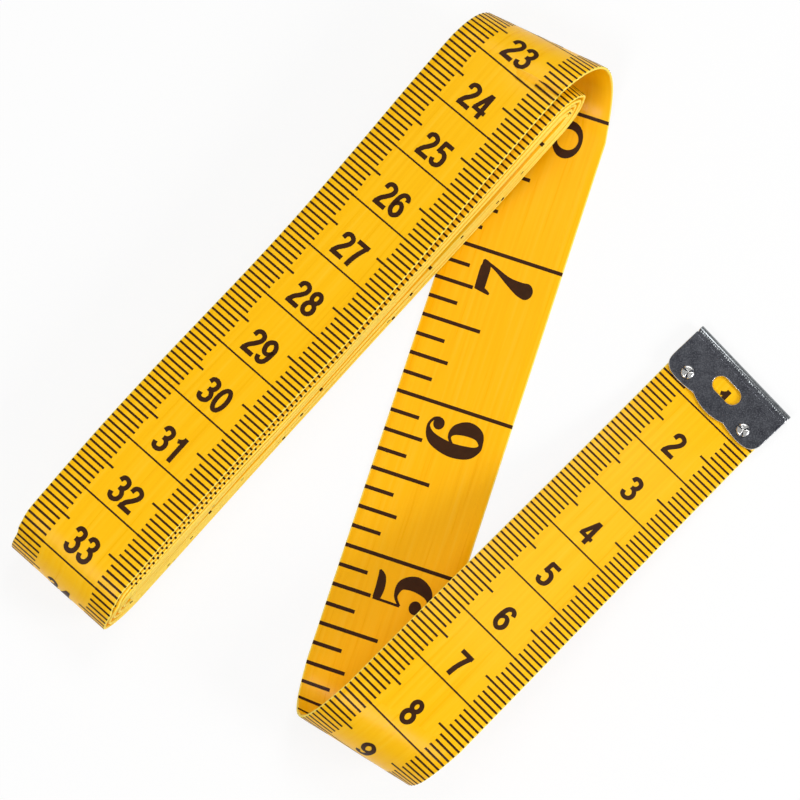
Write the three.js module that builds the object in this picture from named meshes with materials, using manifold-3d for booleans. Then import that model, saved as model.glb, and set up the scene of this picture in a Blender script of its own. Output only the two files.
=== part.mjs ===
import * as THREE from 'three';
import { mergeVertices } from 'three/addons/utils/BufferGeometryUtils.js';
import Module from 'manifold-3d';

// A tailor's tape measure, put away: part of it wound flat into a hank, the rest folded
// into a Z. The middle leg lies on the table, the hank is turned over onto its far end by
// the upper bend, and the free leg comes back over its near end from the lower fold and
// slopes down to the table. Millimetres and degrees, +Z up. The origin is on the underside
// of the middle leg, where the leg's scale reads six inches; +X is to the right and +Y
// away from the near fold.

// Tape
const tapeLength = 1500;
const tapeWidth = 19;
const tapeThickness = 0.45;
const foldLinks = 2;
const linkGap = 0.4;

// Middle leg
const middleAngle = 72.04;

// Lower fold and free leg
const lowerFoldAngle = -31.86;
const lowerFoldReach = 45;
const freeLegAngle = 45.27;
const freeLegShift = 7.42;
const freeLegRun = 75.9;
const freeFoldHeight = 16.2;
const freeTipHeight = 1.45;

// Upper bend and hank
const upperBendAngle = -29.3;
const upperBendReach = 48.6;
const hankAngle = 228.5;
const hankShift = -7.8;
const hankLayers = 12;
const hankEndShort = 20;
const hankOverhang = 4.8;
const hankEndStretch = 1.1;
const hankClearance = 0.4;
const hankEndClearance = 0.1;
const windGap = 0.55;
const coreGap = 4;
const coreShift = 1;
const leanNear = 2.2;
const leanFar = 1.1;
const topLift = 1.5;
const topRoll = 0.1;
const topDrift = 0.9;
const topDriftRun = 26;

// Metal end clips and their rivets
const clipWidth = 19.7;
const clipDepth = 9.25;
const clipPlate = 0.4;
const clipGap = 0.15;
const clipCorner = 2.8;
const clipSkew = -2.2;
const clipShift = 0.35;
const scallopDepth = 0.7;
const slotLength = 5.3;
const slotWidth = 2.8;
const slotInset = 4.75;
const rivetInset = 2.25;
const rivetSpacing = 12.4;
const rivetShank = 1.2;
const rivetHead = 2.1;
const rivetHeadHeight = 0.35;
const rivetCrown = 1.6;
const rivetDimple = 1;
const rivetDimpleDepth = 0.15;
const rivetGap = 0.1;

// Facets
const foldStep = 15;
const bendSteps = 10;
const legSteps = 22;
const roundSides = 20;
const sampleStep = 0.5;

const wasm = await Module();
wasm.setup();

const radians = THREE.MathUtils.degToRad;
const half = tapeThickness / 2;
const up = new THREE.Vector3(0, 0, 1);

function heading(angle) {
  return new THREE.Vector3(Math.cos(radians(angle)), Math.sin(radians(angle)), 0);
}

function acrossRight(direction) {
  return new THREE.Vector3(direction.y, -direction.x, 0);
}

function smooth(t) {
  const u = THREE.MathUtils.clamp(t, 0, 1);
  return u * u * (3 - 2 * u);
}

// A flat strip of the tape through a row of left and right edge points on its middle plane
function ribbon(stations) {
  const last = stations.length - 1;
  const corners = [];
  stations.forEach((station, i) => {
    const before = stations[Math.max(i - 1, 0)];
    const after = stations[Math.min(i + 1, last)];
    const across = station.right.clone().sub(station.left);
    const leftNormal = after.left.clone().sub(before.left).cross(across).setLength(half);
    const rightNormal = after.right.clone().sub(before.right).cross(across).setLength(half);
    corners.push(station.left.clone().add(leftNormal));
    corners.push(station.right.clone().add(rightNormal));
    corners.push(station.right.clone().sub(rightNormal));
    corners.push(station.left.clone().sub(leftNormal));
  });
  const faces = [];
  for (let i = 0; i < last; i += 1) {
    for (let j = 0; j < 4; j += 1) {
      const a = 4 * i + j;
      const b = 4 * i + ((j + 1) % 4);
      faces.push(a, b, b + 4, a, b + 4, a + 4);
    }
  }
  const end = 4 * last;
  faces.push(0, 2, 1, 0, 3, 2, end, end + 1, end + 2, end, end + 2, end + 3);
  const geometry = new THREE.BufferGeometry();
  geometry.setAttribute('position', new THREE.Float32BufferAttribute(
    corners.flatMap((corner) => corner.toArray()), 3));
  geometry.setIndex(signedVolume(corners, faces) < 0 ? faces.reverse() : faces);
  return geometry;
}

function signedVolume(corners, faces) {
  let sum = 0;
  for (let i = 0; i < faces.length; i += 3) {
    const [a, b, c] = [corners[faces[i]], corners[faces[i + 1]], corners[faces[i + 2]]];
    sum += a.dot(b.clone().cross(c));
  }
  return sum / 6;
}

function toSolid(geometry) {
  const plain = geometry.clone();
  plain.deleteAttribute('normal');
  plain.deleteAttribute('uv');
  const merged = mergeVertices(plain, 1e-4);
  return new wasm.Manifold(new wasm.Mesh({
    numProp: 3,
    vertProperties: new Float32Array(merged.attributes.position.array),
    triVerts: new Uint32Array(merged.index.array),
  }));
}

function toGeometry(solid) {
  const mesh = solid.getMesh();
  const geometry = new THREE.BufferGeometry();
  geometry.setAttribute('position', new THREE.Float32BufferAttribute(mesh.vertProperties, 3));
  geometry.setIndex(Array.from(mesh.triVerts));
  return geometry;
}

// Plan directions: along each leg, across it, along each fold's axis and out of each fold
const middleAlong = heading(middleAngle);
const middleAcross = acrossRight(middleAlong);
const freeAlong = heading(freeLegAngle);
const freeAcross = acrossRight(freeAlong);
const hankAlong = heading(hankAngle);
const hankAcross = acrossRight(hankAlong).negate();
const lowerAxis = heading(lowerFoldAngle);
const lowerOut = acrossRight(lowerAxis);
const upperAxis = heading(upperBendAngle);
const upperOut = acrossRight(upperAxis).negate();

// Where the centre lines of the legs cross the folds' axes
const middleLow = middleAlong.clone().multiplyScalar(lowerFoldReach / middleAlong.dot(lowerOut));
const middleHigh = middleAlong.clone().multiplyScalar(upperBendReach / middleAlong.dot(upperOut));
const freeFold = middleLow.clone().addScaledVector(lowerAxis, freeLegShift);
const hankFold = middleHigh.clone().addScaledVector(upperAxis, hankShift);

// A point on a leg: offset from a fold's axis along its outward direction, then across the tape
function foldPoint(origin, along, across, out, offset, side, height) {
  const run = (offset - side * across.dot(out)) / along.dot(out);
  return origin.clone().addScaledVector(along, run).addScaledVector(across, side).setZ(height);
}

function edges(pointAt) {
  return { left: pointAt(-tapeWidth / 2), right: pointAt(tapeWidth / 2) };
}

// A half turn of tape between two legs that cross the fold at different places and heights.
// It opens at hinge lines spread evenly round it: half a link of it stays on the leg at each
// end, and whole links lie between the lines.
const hingeTurn = Math.PI / (foldLinks + 1);

function halfTurn(axis, out, lower, upper) {
  return (angle, gap) => edges((side) => {
    const start = lower(side);
    const finish = upper(side);
    const radius = (finish.z - start.z) / 2;
    const shift = finish.clone().sub(start).dot(axis);
    const turned = angle + gap / radius;
    return start
      .addScaledVector(axis, shift * turned / Math.PI)
      .addScaledVector(out, radius * Math.sin(turned))
      .addScaledVector(up, radius * (1 - Math.cos(turned)));
  });
}

function turnStations(turn, from, to, fromGap, toGap) {
  const steps = Math.max(Math.round(Math.abs(to - from) / radians(foldStep)), 1);
  return Array.from({ length: steps + 1 }, (_, i) => {
    const share = i / steps;
    return turn(from + (to - from) * share, fromGap + (toGap - fromGap) * share);
  });
}

function firstHalfLink(turn) {
  return turnStations(turn, 0, hingeTurn / 2, 0, -linkGap / 2);
}

function lastHalfLink(turn) {
  return turnStations(turn, Math.PI - hingeTurn / 2, Math.PI, linkGap / 2, 0);
}

// Free leg: level over the fold, then down to the table, where its clip lies flat
const clipHalf = half + clipGap + clipPlate;
const slotDepth = clipDepth - slotInset;
const rivetDepth = clipDepth - rivetInset;
const freeTapeEnd = clipPlate + clipGap;
const endSlant = Math.tan(radians(clipSkew));
const freeTip = freeFold.clone().addScaledVector(freeAlong, freeLegRun);

function freeHeight(fromTip) {
  const slope = (fromTip - clipDepth) / (freeLegRun - clipDepth);
  return freeTipHeight + (freeFoldHeight - half - freeTipHeight) * smooth(slope);
}

function freeFoldLine(side) {
  return foldPoint(freeFold, freeAlong, freeAcross, lowerOut, 0, side, freeFoldHeight - half);
}

const lowerTurn = halfTurn(lowerAxis, lowerOut,
  (side) => foldPoint(middleLow, middleAlong, middleAcross, lowerOut, 0, side, half), freeFoldLine);

const freeStations = [];
for (let i = 0; i <= legSteps; i += 1) {
  freeStations.push(edges((side) => {
    const tip = freeTip.clone().addScaledVector(freeAcross, side)
      .addScaledVector(freeAlong, side * endSlant - freeTapeEnd);
    const point = tip.lerp(freeFoldLine(side), i / legSteps);
    const fromTip = freeTip.clone().addScaledVector(freeAcross, side).setZ(0)
      .distanceTo(point.clone().setZ(0));
    return point.setZ(freeHeight(fromTip));
  }));
}

// Hank: layers stacked between the middle leg and the top layer, each joined to the next by
// a half turn, alternately below and above and always further in, to the far end in the core
const pitch = tapeThickness + windGap;
const bottomLayer = tapeThickness + hankClearance + half;
const turns = hankLayers - 1;
const topLayer = bottomLayer + coreGap + (turns - 2) * pitch;
const heights = [];
for (let k = 0; k < turns; k += 1) {
  const inset = Math.floor(k / 2) * pitch;
  heights.push(k % 2 === 0 ? topLayer - inset : bottomLayer + inset);
}
heights.push((heights[turns - 1] + heights[turns - 2]) / 2);

function turnRadius(k) {
  return Math.abs(heights[k + 1] - heights[k]) / 2;
}

// The turns at the hank's far end reach out a little further than a round turn would
function turnReach(k) {
  return turnRadius(k) * (k % 2 === 0 ? hankEndStretch : 1);
}

function turnLength(k) {
  return Math.PI * Math.sqrt((turnRadius(k) ** 2 + turnReach(k) ** 2) / 2);
}

// The tape that the legs and folds leave over is shared among the layers' straight runs
const freeLine = freeStations.map(({ left, right }) => left.clone().lerp(right, 0.5));
const freeLength = freeLine.slice(1).reduce(
  (sum, point, i) => sum + point.distanceTo(freeLine[i]), freeTapeEnd);
const foldLength = Math.PI * (freeFoldHeight - tapeThickness) / 2;
const bendLength = Math.PI * (topLayer + topLift - half) / 2;
let straightLength = tapeLength - freeLength - foldLength - middleHigh.distanceTo(middleLow) - bendLength;
for (let k = 0; k < turns; k += 1) {
  straightLength -= turnLength(k);
}
const near = turnRadius(1) + half - hankOverhang;
const far = (straightLength + turns * near + hankEndShort) / (turns + 1);
const lastRun = far - near - hankEndShort;
const hankLength = far + turnReach(0) + half + hankOverhang;
const hankDrop = bottomLayer - half - hankEndClearance;

function drop(run) {
  return hankDrop * (run + hankOverhang) / hankLength;
}

// The stack leans: each layer lies further across than the one above it, most just below the top
function lean(run, height) {
  const depth = Math.max(topLayer - height, 0) / (topLayer - bottomLayer);
  return (leanNear + (leanFar - leanNear) * run / hankLength) * Math.cbrt(depth);
}

function hankPoint(run, side, height) {
  return hankFold.clone().addScaledVector(hankAlong, run)
    .addScaledVector(hankAcross, side + lean(run, height))
    .setZ(height - drop(run));
}

// The top layer lifts off the stack, rolls and drifts aside on its way up to the bend
function topPoint(run, side) {
  const rise = (topLift + topRoll * side) * (1 - smooth(run / far));
  const drift = topDrift * (1 - smooth(run / topDriftRun));
  return hankPoint(run, side - drift, topLayer + rise);
}

function hankFoldRun(side) {
  const line = foldPoint(hankFold, hankAlong, hankAcross, upperOut, 0, side - topDrift, 0);
  return line.sub(hankFold).dot(hankAlong);
}

const upperTurn = halfTurn(upperAxis, upperOut,
  (side) => foldPoint(middleHigh, middleAlong, middleAcross, upperOut, 0, side, half),
  (side) => topPoint(hankFoldRun(side), side));

// The winding's middle line in the hank's side view, and its stations
const windingLine = [new THREE.Vector2(0, topPoint(0, 0).z + drop(0))];
const windingStations = lastHalfLink(upperTurn);
const topSteps = legSteps / 2;
for (let i = 1; i <= topSteps; i += 1) {
  windingStations.push(edges((side) => {
    const begin = hankFoldRun(side);
    return topPoint(begin + (far - begin) * i / topSteps, side);
  }));
  const run = far * i / topSteps;
  windingLine.push(new THREE.Vector2(run, topPoint(run, 0).z + drop(run)));
}

// The tape's end is cut to its clip's skew and shifted back under the layers above it
function windTo(run, height, end) {
  windingLine.push(new THREE.Vector2(run, height));
  windingStations.push(edges(
    (side) => hankPoint(run - end * endSlant * side, side - end * coreShift, height)));
}

for (let k = 0; k < turns; k += 1) {
  const outward = k % 2 === 0 ? 1 : -1;
  const centre = k % 2 === 0 ? far : near;
  const middle = (heights[k] + heights[k + 1]) / 2;
  for (let i = 1; i < bendSteps; i += 1) {
    const angle = Math.PI * i / bendSteps;
    windTo(centre + outward * turnReach(k) * Math.sin(angle),
      middle + (heights[k] - middle) * Math.cos(angle), 0);
  }
  windTo(centre, heights[k + 1], 0);
  const end = k === turns - 1 ? 1 : 0;
  windTo(centre - outward * (end ? lastRun : far - near), heights[k + 1], end);
}
const farEndRun = windingLine[windingLine.length - 1].x;
const farOutward = turns % 2 === 0 ? -1 : 1;

// Least gap between different turns, on points along the middle line
const samples = [];
for (let i = 1; i < windingLine.length; i += 1) {
  const steps = Math.ceil(windingLine[i].distanceTo(windingLine[i - 1]) / sampleStep);
  for (let j = 0; j < steps; j += 1) {
    samples.push(windingLine[i - 1].clone().lerp(windingLine[i], j / steps));
  }
}
let leastGap = Infinity;
samples.forEach((a, i) => {
  for (let j = i + Math.ceil(Math.PI * coreGap / 2 / sampleStep); j < samples.length; j += 1) {
    leastGap = Math.min(leastGap, a.distanceTo(samples[j]) - tapeThickness);
  }
});
console.log(`hank ${hankLength.toFixed(1)} mm long, least gap between turns ${leastGap.toFixed(3)} mm`);

// Materials
const tapeColour = new THREE.MeshStandardMaterial({ color: 0xffc200, roughness: 0.42, metalness: 0 });
const clipColour = new THREE.MeshStandardMaterial({ color: 0x8f8c88, roughness: 0.38, metalness: 0.9 });
const rivetColour = new THREE.MeshStandardMaterial({ color: 0xd5d3cf, roughness: 0.22, metalness: 1 });

const tapeMeasure = new THREE.Group();

function addMesh(parent, name, geometry, material) {
  const mesh = new THREE.Mesh(geometry, material);
  mesh.name = name;
  parent.add(mesh);
}

// A rivet's outline from its axis: dimpled heads above and below the clip on one shank
function rivetGeometry() {
  const seat = clipHalf + rivetGap;
  const crown = seat + rivetHeadHeight;
  const profile = [
    new THREE.Vector2(0, rivetDimpleDepth - crown),
    new THREE.Vector2(rivetDimple / 2, -crown),
    new THREE.Vector2(rivetCrown / 2, -crown),
    new THREE.Vector2(rivetHead / 2, -seat),
    new THREE.Vector2(rivetShank / 2, -seat),
    new THREE.Vector2(rivetShank / 2, seat),
    new THREE.Vector2(rivetHead / 2, seat),
    new THREE.Vector2(rivetCrown / 2, crown),
    new THREE.Vector2(rivetDimple / 2, crown),
    new THREE.Vector2(0, crown - rivetDimpleDepth),
  ];
  return new THREE.LatheGeometry(profile, roundSides).rotateX(Math.PI / 2);
}

function rivetHole(side) {
  const hole = new THREE.CylinderGeometry(rivetShank / 2 + rivetGap, rivetShank / 2 + rivetGap,
    4 * clipHalf, roundSides);
  return hole.rotateX(Math.PI / 2).translate(rivetDepth, side * rivetSpacing / 2, 0);
}

// One plate of a clip, in the clip's frame: x from its folded end along the tape, y across
function clipPlateGeometry(slotted) {
  const side = clipWidth / 2;
  const cusp = clipDepth - scallopDepth;
  const lobe = clipWidth / 6;
  const outline = new THREE.Shape();
  outline.moveTo(clipHalf - clipPlate / 2, -side);
  outline.lineTo(clipDepth - clipCorner, -side);
  outline.quadraticCurveTo(clipDepth + scallopDepth, -side, cusp, -lobe);
  outline.quadraticCurveTo(clipDepth + scallopDepth, 0, cusp, lobe);
  outline.quadraticCurveTo(clipDepth + scallopDepth, side, clipDepth - clipCorner, side);
  outline.lineTo(clipHalf - clipPlate / 2, side);
  if (slotted) {
    const slot = new THREE.Path();
    const end = (slotLength - slotWidth) / 2;
    slot.absarc(slotDepth, end, slotWidth / 2, 0, Math.PI, false);
    slot.absarc(slotDepth, -end, slotWidth / 2, Math.PI, 2 * Math.PI, false);
    outline.holes.push(slot);
  }
  return new THREE.ExtrudeGeometry(outline, {
    depth: clipPlate, bevelEnabled: false, curveSegments: roundSides / 2,
  });
}

function clipGeometry() {
  const wrap = new THREE.Shape();
  wrap.absarc(clipHalf, 0, clipHalf, Math.PI / 2, 1.5 * Math.PI, false);
  wrap.absarc(clipHalf, 0, clipHalf - clipPlate, 1.5 * Math.PI, Math.PI / 2, true);
  const fold = new THREE.ExtrudeGeometry(wrap, {
    depth: clipWidth, bevelEnabled: false, curveSegments: roundSides / 2,
  });
  fold.rotateX(Math.PI / 2).translate(0, clipWidth / 2, 0);
  const top = clipPlateGeometry(true).translate(0, 0, clipHalf - clipPlate);
  const bottom = clipPlateGeometry(false).translate(0, 0, -clipHalf);
  let clip = toSolid(fold).add(toSolid(top)).add(toSolid(bottom));
  [-1, 1].forEach((side) => {
    clip = clip.subtract(toSolid(rivetHole(side)));
  });
  return toGeometry(clip);
}

// A clip with its rivets at an end of the tape; the frame's x runs from the end along the tape,
// and the clip sits a little skew and aside, with the tape's end cut to match
function endFrame(point, along) {
  const frame = new THREE.Matrix4().makeBasis(along, up.clone().cross(along), up);
  const skew = new THREE.Matrix4().makeRotationZ(radians(clipSkew));
  const shift = new THREE.Matrix4().makeTranslation(0, clipShift, 0);
  return frame.setPosition(point).multiply(skew).multiply(shift);
}

function addClip(name, frame) {
  const group = new THREE.Group();
  group.applyMatrix4(frame);
  addMesh(group, `${name}_clip`, clipGeometry(), clipColour);
  [['left', -1], ['right', 1]].forEach(([word, side]) => {
    const rivet = rivetGeometry().translate(rivetDepth, side * rivetSpacing / 2, 0);
    addMesh(group, `${name}_rivet_${word}`, rivet, rivetColour);
  });
  tapeMeasure.add(group);
}

function pierced(stations, frame) {
  let strip = toSolid(ribbon(stations));
  [-1, 1].forEach((side) => {
    strip = strip.subtract(toSolid(rivetHole(side).applyMatrix4(frame)));
  });
  return toGeometry(strip);
}

const zeroFrame = endFrame(freeTip.clone().setZ(freeTipHeight), freeAlong.clone().negate());
const farAlong = hankAlong.clone().multiplyScalar(farOutward);
const farPoint = hankPoint(farEndRun - farOutward * freeTapeEnd, -coreShift, heights[turns]);
const farFrame = endFrame(farPoint, farAlong);

function addLinks(name, turn) {
  for (let k = 1; k <= foldLinks; k += 1) {
    const from = (k - 0.5) * hingeTurn;
    const stations = turnStations(turn, from, from + hingeTurn, linkGap / 2, -linkGap / 2);
    addMesh(tapeMeasure, `${name}_${k}`, ribbon(stations), tapeColour);
  }
}

// The middle leg lies flat on the table between its half links
const middleStations = firstHalfLink(lowerTurn).reverse().concat(firstHalfLink(upperTurn));
const freeLegStations = freeStations.concat(lastHalfLink(lowerTurn).reverse().slice(1));

addMesh(tapeMeasure, 'middle_leg', ribbon(middleStations), tapeColour);
addLinks('lower_fold', lowerTurn);
addLinks('upper_bend', upperTurn);
addMesh(tapeMeasure, 'free_leg', pierced(freeLegStations, zeroFrame), tapeColour);
addMesh(tapeMeasure, 'hank_winding', pierced(windingStations, farFrame), tapeColour);
addClip('zero', zeroFrame);
addClip('far', farFrame);

export default tapeMeasure;
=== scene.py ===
import math

import bpy
import numpy as np
from mathutils import Matrix, Vector


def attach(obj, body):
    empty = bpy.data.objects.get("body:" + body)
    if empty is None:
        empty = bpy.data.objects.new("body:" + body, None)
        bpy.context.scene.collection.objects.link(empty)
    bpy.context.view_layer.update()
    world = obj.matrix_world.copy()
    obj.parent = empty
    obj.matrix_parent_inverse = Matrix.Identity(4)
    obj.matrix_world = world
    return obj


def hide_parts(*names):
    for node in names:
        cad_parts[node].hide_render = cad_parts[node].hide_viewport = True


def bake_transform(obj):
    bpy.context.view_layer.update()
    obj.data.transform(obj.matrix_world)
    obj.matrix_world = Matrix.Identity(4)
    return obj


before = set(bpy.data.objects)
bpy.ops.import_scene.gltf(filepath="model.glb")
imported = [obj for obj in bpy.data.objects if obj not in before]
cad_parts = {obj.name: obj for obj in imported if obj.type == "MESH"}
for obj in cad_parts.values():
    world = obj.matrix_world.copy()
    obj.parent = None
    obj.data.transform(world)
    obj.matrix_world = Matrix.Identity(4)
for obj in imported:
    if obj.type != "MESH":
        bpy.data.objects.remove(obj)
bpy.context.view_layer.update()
scene = bpy.context.scene
scene.view_settings.view_transform = "Standard"

# Camera: above the table and a little in front of the tape, millimetres in the part's frame
lookDown = {"eye": (-12.877, -55.474, 427.352), "target": (-8.328, 1.267, 0.45), "lens": 124.46,
            "sensor": 36, "clipStart": 10.0}


def makeCamera():
    eye = Vector(lookDown["eye"]) / 1000
    forward = (Vector(lookDown["target"]) / 1000 - eye).normalized()
    right = forward.cross(Vector((0, 1, 0))).normalized()
    upward = right.cross(forward)
    data = bpy.data.cameras.new("lookDownCamera")
    data.sensor_width = lookDown["sensor"]
    data.lens = lookDown["lens"]
    data.clip_start = lookDown["clipStart"] / 1000
    camera = bpy.data.objects.new("lookDownCamera", data)
    camera.matrix_world = Matrix((right, upward, -forward)).transposed().to_4x4()
    camera.matrix_world.translation = eye
    scene.collection.objects.link(camera)
    scene.camera = camera


makeCamera()
print("camera placed")

# The tape's way: millimetres and degrees, close to the route of the part's solids
tape = {"width": 19.0, "thickness": 0.45, "length": 1500.0, "edgeRound": 0.2, "edgeDrop": 0.03,
        "edgeLift": 0.6, "ringCuts": 12}
middleLeg = {"angle": 71.71, "aside": 0.2}
lowerFold = {"angle": -31.86, "reach": 45.0}
freeLeg = {"angle": 45.27, "shift": 7.87, "run": 75.9, "foldHeight": 16.2, "tipHeight": 1.45}
upperBend = {"angle": -29.3, "reach": 48.6}
hank = {"angle": 228.5, "shift": -8.09, "layers": 12, "endShort": 20.0, "overhang": 4.8,
        "endStretch": 1.1, "clearance": 0.4, "endClearance": 0.1, "windGap": 0.55, "coreGap": 4.0,
        "slack": 0.08, "slackWave": 7.1, "slackStep": 2.3, "tipSlant": 0.03, "coreShift": 0.9,
        "unprinted": 1.0}
topEnd = {"lift": 1.5, "roll": 0.1, "drift": 0.15, "driftRun": 26.0}
clip = {"width": 19.7, "depth": 9.25, "plate": 0.4, "gap": 0.15, "corner": 2.8, "skew": -2.2,
        "shift": 0.18, "scallop": 0.7, "slotLength": 5.15, "slotWidth": 2.65, "slotInset": 4.75,
        "bevel": 0.15, "bevelCuts": 2, "rimSlope": 0.8, "dent": 0.14, "dentRun": 0.25, "dentHalf": 0.2,
        "lip": 0.04, "crease": 0.95, "secondCrease": 1.7}
rivet = {"inset": 2.25, "spacing": 12.4, "shank": 1.2, "head": 2.2, "headHeight": 0.36, "crown": 1.5,
         "dimple": 0.5, "dimpleDepth": 0.12, "gap": 0.1, "splits": 3, "splitDepth": 0.26,
         "splitTurn": 0.5, "splitEdge": 0.72, "splitShade": 0.45}
endGap = clip["plate"] + clip["gap"]
endSlant = math.tan(math.radians(clip["skew"]))
half = tape["thickness"] / 2
edge = tape["width"] / 2
up = np.array([0.0, 0.0, 1.0])


def heading(angle):
    return np.array([math.cos(math.radians(angle)), math.sin(math.radians(angle)), 0.0])


def acrossRight(direction):
    return np.array([direction[1], -direction[0], 0.0])


def smooth(t):
    u = np.clip(t, 0, 1)
    return u * u * (3 - 2 * u)


def times(amounts, direction):
    return np.asarray(amounts)[..., None] * direction


middleAlong = heading(middleLeg["angle"])
middleAcross = acrossRight(middleAlong)
freeAlong = heading(freeLeg["angle"])
freeAcross = acrossRight(freeAlong)
hankAlong = heading(hank["angle"])
hankAcross = -acrossRight(hankAlong)
lowerAxis = heading(lowerFold["angle"])
lowerOut = acrossRight(lowerAxis)
upperAxis = heading(upperBend["angle"])
upperOut = -acrossRight(upperAxis)
lowRun = lowerFold["reach"] / (middleAlong @ lowerOut)
highRun = upperBend["reach"] / (middleAlong @ upperOut)
freeFold = middleAlong * lowRun + lowerAxis * freeLeg["shift"]
hankFold = middleAlong * highRun + upperAxis * hank["shift"]
freeTip = freeFold + freeAlong * freeLeg["run"]


# How far along a leg its fold line lies from the leg's centre line, at one side of the tape
def foldSlant(along, across, out, side):
    return -side * (across @ out) / (along @ out)


def lowLine(side):
    return lowRun + foldSlant(middleAlong, middleAcross, lowerOut, side + middleLeg["aside"])


def highLine(side):
    return highRun + foldSlant(middleAlong, middleAcross, upperOut, side + middleLeg["aside"])


def middleFlat(run, side):
    return times(run, middleAlong) + times(side + middleLeg["aside"], middleAcross) + up * half


# Free leg: height is a smooth step from the flat tip up to the fold, and the table of arc
# lengths turns a reading of the scale into a distance in plan
freeTable = {"beyond": 12.0, "count": 900}
freePlan = np.linspace(0, freeLeg["run"] + freeTable["beyond"], freeTable["count"])


def freeHeight(fromTip):
    rise = freeLeg["foldHeight"] - half - freeLeg["tipHeight"]
    share = (fromTip - clip["depth"]) / (freeLeg["run"] - clip["depth"])
    return freeLeg["tipHeight"] + rise * smooth(share)


freeArc = np.concatenate([[0], np.cumsum(np.hypot(np.diff(freePlan), np.diff(freeHeight(freePlan))))])


def freeLine(side):
    return freeLeg["run"] - foldSlant(freeAlong, freeAcross, lowerOut, side)


def freeReading(fromTip):
    return np.interp(fromTip, freePlan, freeArc)


def freeFlat(fromTip, side):
    return (freeTip - times(fromTip, freeAlong) + times(side, freeAcross)
            + times(freeHeight(fromTip), up))


# Hank: layers stacked from the middle leg up, joined by half turns that go further and further in
pitch = tape["thickness"] + hank["windGap"]
bottomLayer = tape["thickness"] + hank["clearance"] + half
turns = hank["layers"] - 1
topLayer = bottomLayer + hank["coreGap"] + (turns - 2) * pitch
steps = np.arange(turns)
heights = np.where(steps % 2 == 0, topLayer - steps // 2 * pitch, bottomLayer + steps // 2 * pitch)
heights = np.append(heights, heights[-2:].mean())
turnRadius = np.abs(np.diff(heights)) / 2
turnReach = turnRadius * np.where(steps % 2 == 0, hank["endStretch"], 1)
turnLength = math.pi * np.sqrt((turnRadius ** 2 + turnReach ** 2) / 2)
freeLength = freeReading(freeLeg["run"])
foldLength = math.pi * (freeLeg["foldHeight"] - tape["thickness"]) / 2
bendLength = math.pi * (topLayer + topEnd["lift"] - half) / 2
straightLength = (tape["length"] - freeLength - foldLength - (highRun - lowRun) - bendLength
                  - turnLength.sum())
near = turnRadius[1] + half - hank["overhang"]
far = (straightLength + turns * near + hank["endShort"]) / (turns + 1)
hankLength = far + turnReach[0] + half + hank["overhang"]
hankDrop = bottomLayer - half - hank["endClearance"]

# The winding as a list of stretches: straight layer, half turn, straight layer and so on
layerLengths = np.concatenate([[far], np.full(turns - 1, far - near), [far - near - hank["endShort"]]])
stretchLengths = np.empty(2 * turns + 1)
stretchLengths[0::2] = layerLengths
stretchLengths[1::2] = turnLength
stretchStarts = np.concatenate([[0], np.cumsum(stretchLengths)])
windingLength = stretchStarts[-1]
farEndRun = far - layerLengths[-1]

# How far up each layer has to go for all of them to lie evenly apart
layerHeights = np.sort(heights)
evenShifts = np.linspace(bottomLayer, topLayer, hank["layers"]) - layerHeights
settling = {"end": 6.0, "fade": 18.0, "clipReach": 6.5, "clipFade": 7.5, "clipRoom": 0.6}
swaying = {"mean": 0.13, "size": 0.37, "peak": 41.0, "length": 78.0}
leaning = {"near": 0.75, "far": 0.3, "fade": 50.0, "low": 1.45, "taper": 0.3, "third": 0.42,
           "thirdStart": 40.0, "thirdFade": 25.0}


def evenShift(height):
    return np.interp(height, layerHeights, evenShifts)


# The layers settle evenly between the hank's ends, but for room round the far clip
def settleAt(run, height):
    fromClip = np.abs(run - farEndRun - clip["depth"] / 2)
    room = 1 - smooth((fromClip - settling["clipReach"]) / settling["clipFade"])
    inside = smooth((far - settling["end"] - run) / settling["fade"])
    return evenShift(height) * inside * (1 - settling["clipRoom"] * room)


# The upper layers sway from side to side as one slow wave
def swayAt(run):
    angle = 2 * math.pi * (run - swaying["peak"]) / swaying["length"]
    return swaying["mean"] + swaying["size"] * np.cos(angle)


# The stack leans: the second layer lies further across than the top one, most at the near
# end, the third steps out again towards the far end, and those below step out evenly
def leanAt(run, height):
    second = leaning["near"] + (leaning["far"] - leaning["near"]) * smooth(run / leaning["fade"])
    third = leaning["third"] * smooth((run - leaning["thirdStart"]) / leaning["thirdFade"])
    low = leaning["low"] * (1 - leaning["taper"] * run / hankLength) - third
    stack = topLayer - bottomLayer
    depth = (topLayer - height) / stack
    even = depth - evenShift(height) / stack
    layer = depth * (turns + 2)
    sway = swayAt(run) * np.clip(1 - depth, 0, 1) ** 2
    return second * smooth(layer) + third * smooth(layer - 1) + low * even + sway


def hankAt(run, side, height, lift=0.0):
    drop = hankDrop * (run + hank["overhang"]) / hankLength
    return (hankFold + times(run, hankAlong) + times(side + leanAt(run, height), hankAcross)
            + times(height + lift - drop, up))


def topFlat(run, side):
    rise = (topEnd["lift"] + topEnd["roll"] * side) * (1 - smooth(run / far))
    drift = topEnd["drift"] * (1 - smooth(run / topEnd["driftRun"]))
    return hankAt(run, side - drift, topLayer + rise)


def topLine(side):
    return foldSlant(hankAlong, hankAcross, upperOut, side - topEnd["drift"] + swayAt(0))


pinching = {"share": 0.5, "run": 19.0, "spread": 0.5}
wander = {"size": 0.06, "long": 23.0, "short": 9.1, "shortShare": 0.7, "fade": 60.0, "end": 70.0}


# The layers wander sideways by two slow sines of the length, not near the winding's ends
def wanderAt(length):
    fade = smooth((length - far) / wander["fade"])
    fade = fade * smooth((windingLength - wander["end"] - length) / wander["fade"])
    short = wander["shortShare"] * np.sin(length / wander["short"] + 1)
    return fade * (wander["size"] * (np.sin(length / wander["long"]) + short))


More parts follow.
